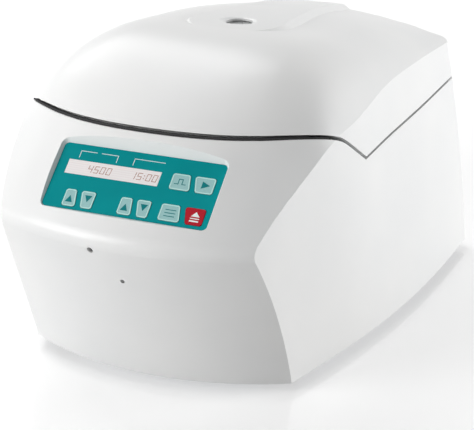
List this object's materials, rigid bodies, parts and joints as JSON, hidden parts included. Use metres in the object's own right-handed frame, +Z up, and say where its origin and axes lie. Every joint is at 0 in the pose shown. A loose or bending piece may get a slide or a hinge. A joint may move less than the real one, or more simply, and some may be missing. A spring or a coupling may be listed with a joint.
{
  "type": "benchtop centrifuge",
  "caption": "Compact laboratory centrifuge with a domed hinged lid, a round sight window, a sloping key panel, an angle rotor in a steel bowl and a locking catch.",
  "frame": {"origin": "on the bench, under the middle of the casing's footprint", "axes": "+X to the right seen from the front, +Y to the back, +Z up"},
  "size_m": [0.2606, 0.3531, 0.2086],
  "materials": {
    "white_shell": "semi-gloss white moulded plastic",
    "grey_liner": "satin pale grey moulded plastic",
    "zinc_sheet": "zinc-plated sheet steel",
    "black_rubber": "matt black rubber",
    "grey_rubber": "grey silicone rubber",
    "zinc_screw": "zinc-plated steel",
    "hinge_steel": "brushed stainless steel",
    "bowl_steel": "spun stainless steel",
    "motor_black": "black enamelled steel",
    "cast_alloy": "die-cast aluminium",
    "bearing_steel": "ground bearing steel",
    "core_steel": "varnished laminated steel",
    "copper_winding": "enamelled copper wire",
    "rotor_alloy": "anodised aluminium",
    "rotor_nut": "turned aluminium",
    "clear_window": "clear polycarbonate",
    "teal_foil": "teal printed foil",
    "display_lens": "tinted display window",
    "black_module": "black display module",
    "circuit_board": "green glass-fibre board",
    "power_parts": "dark component cases",
    "wire_cover": "vinyl wire insulation",
    "solenoid_case": "plated steel case",
    "spring_steel": "spring steel",
    "black_fitting": "black moulded plastic",
    "rocker_black": "black glossy plastic",
    "inlet_pins": "nickel-plated brass",
    "fuse_glass": "glass tube fuse",
    "key_teal": "pale teal moulded key",
    "key_red": "red moulded key"
  },
  "bodies": {
    "casing": {"base_plate": "zinc_sheet", "board_chips": "black_module", "casing": "white_shell", "casing_screws": "zinc_screw", "chamber_bowl": "bowl_steel", "chamber_gasket": "grey_rubber", "control_board": "circuit_board", "damper_screws": "zinc_screw", "display_lens": "display_lens", "display_module": "black_module", "hinge_pins": "hinge_steel", "hinge_towers": "hinge_steel", "inlet_pins": "inlet_pins", "key_switches": "black_module", "lock_frame": "zinc_sheet", "lock_solenoid": "solenoid_case", "lock_spring": "spring_steel", "mains_inlet": "black_fitting", "microswitches": "black_module", "motor_bearings": "bearing_steel", "motor_dampers": "black_rubber", "motor_end_cap": "cast_alloy", "motor_housing": "motor_black", "motor_plate": "zinc_sheet", "panel_overlay": "teal_foil", "power_board": "circuit_board", "power_parts": "power_parts", "rubber_feet": "black_rubber", "shaft_boot": "grey_rubber", "sounder": "black_module", "speed_sensor": "black_module", "stator_core": "core_steel", "stator_windings": "copper_winding", "switch_frame": "black_fitting", "wiring_harness": "wire_cover"},
    "lid": {"lid_cover": "white_shell", "lid_lining": "grey_liner", "lid_screws": "zinc_screw", "viewport_glass": "clear_window", "viewport_tube": "grey_liner", "striker": "hinge_steel", "hinge_brackets": "hinge_steel"},
    "rotor": {"motor_shaft": "bearing_steel", "armature": "core_steel", "angle_rotor": "rotor_alloy", "rotor_nut": "rotor_nut"},
    "lock_lever": {"lock_lever": "hinge_steel"},
    "solenoid_plunger": {"solenoid_plunger": "bearing_steel"},
    "fuse_drawer": {"fuse_drawer": "black_fitting", "fuses": "fuse_glass"},
    "mains_rocker": {"mains_rocker": "rocker_black"},
    "key_speed_up": {"key_speed_up": "key_teal"},
    "key_speed_down": {"key_speed_down": "key_teal"},
    "key_time_up": {"key_time_up": "key_teal"},
    "key_time_down": {"key_time_down": "key_teal"},
    "key_impulse": {"key_impulse": "key_teal"},
    "key_start": {"key_start": "key_teal"},
    "key_open_lid": {"key_open_lid": "key_teal"},
    "key_stop": {"key_stop": "key_red"}
  },
  "joints": [
    {"name": "lid_hinge", "type": "hinge", "parent": "casing", "child": "lid", "pos_m": [0, 0.1684, 0.146], "axis": [-1, 0, 0], "range_deg": [0, 80]},
    {"name": "rotor_spin", "type": "hinge", "parent": "casing", "child": "rotor", "pos_m": [0, 0.026, 0.1], "axis": [0, 0, 1], "continuous": true},
    {"name": "lock_turn", "type": "hinge", "parent": "casing", "child": "lock_lever", "pos_m": [-0.0147, -0.098, 0.1088], "axis": [0, 1, 0], "range_deg": [0, 12], "stiffness_Nm_per_rad": 0.05, "springref_deg": 34.38, "deforming": ["lock_spring"]},
    {"name": "plunger_slide", "type": "slide", "parent": "casing", "child": "solenoid_plunger", "axis": [1, 0, 0], "range_m": [0, 0.00382]},
    {"name": "fuse_drawer_slide", "type": "slide", "parent": "casing", "child": "fuse_drawer", "axis": [0, 1, 0], "range_m": [0, 0.018]},
    {"name": "mains_rocker_turn", "type": "hinge", "parent": "casing", "child": "mains_rocker", "pos_m": [-0.03, 0.168, 0.04], "axis": [1, 0, 0], "range_deg": [0, 16]},
    {"name": "key_speed_up_press", "type": "slide", "parent": "casing", "child": "key_speed_up", "axis": [0, 0.6388, -0.7694], "range_m": [0, 0.00035], "stiffness_N_per_m": 3000, "springref_m": -0.0005},
    {"name": "key_speed_down_press", "type": "slide", "parent": "casing", "child": "key_speed_down", "axis": [0, 0.6388, -0.7694], "range_m": [0, 0.00035], "stiffness_N_per_m": 3000, "springref_m": -0.0005},
    {"name": "key_time_up_press", "type": "slide", "parent": "casing", "child": "key_time_up", "axis": [0, 0.6388, -0.7694], "range_m": [0, 0.00035], "stiffness_N_per_m": 3000, "springref_m": -0.0005},
    {"name": "key_time_down_press", "type": "slide", "parent": "casing", "child": "key_time_down", "axis": [0, 0.6388, -0.7694], "range_m": [0, 0.00035], "stiffness_N_per_m": 3000, "springref_m": -0.0005},
    {"name": "key_impulse_press", "type": "slide", "parent": "casing", "child": "key_impulse", "axis": [0, 0.6388, -0.7694], "range_m": [0, 0.00035], "stiffness_N_per_m": 3000, "springref_m": -0.0005},
    {"name": "key_start_press", "type": "slide", "parent": "casing", "child": "key_start", "axis": [0, 0.6388, -0.7694], "range_m": [0, 0.00035], "stiffness_N_per_m": 3000, "springref_m": -0.0005},
    {"name": "key_open_lid_press", "type": "slide", "parent": "casing", "child": "key_open_lid", "axis": [0, 0.6388, -0.7694], "range_m": [0, 0.00035], "stiffness_N_per_m": 3000, "springref_m": -0.0005},
    {"name": "key_stop_press", "type": "slide", "parent": "casing", "child": "key_stop", "axis": [0, 0.6388, -0.7694], "range_m": [0, 0.00035], "stiffness_N_per_m": 3000, "springref_m": -0.0005}
  ],
  "couplings": [
    {"joint": "plunger_slide", "follows": "lock_turn", "m_per_rad": 0.0182}
  ]
}
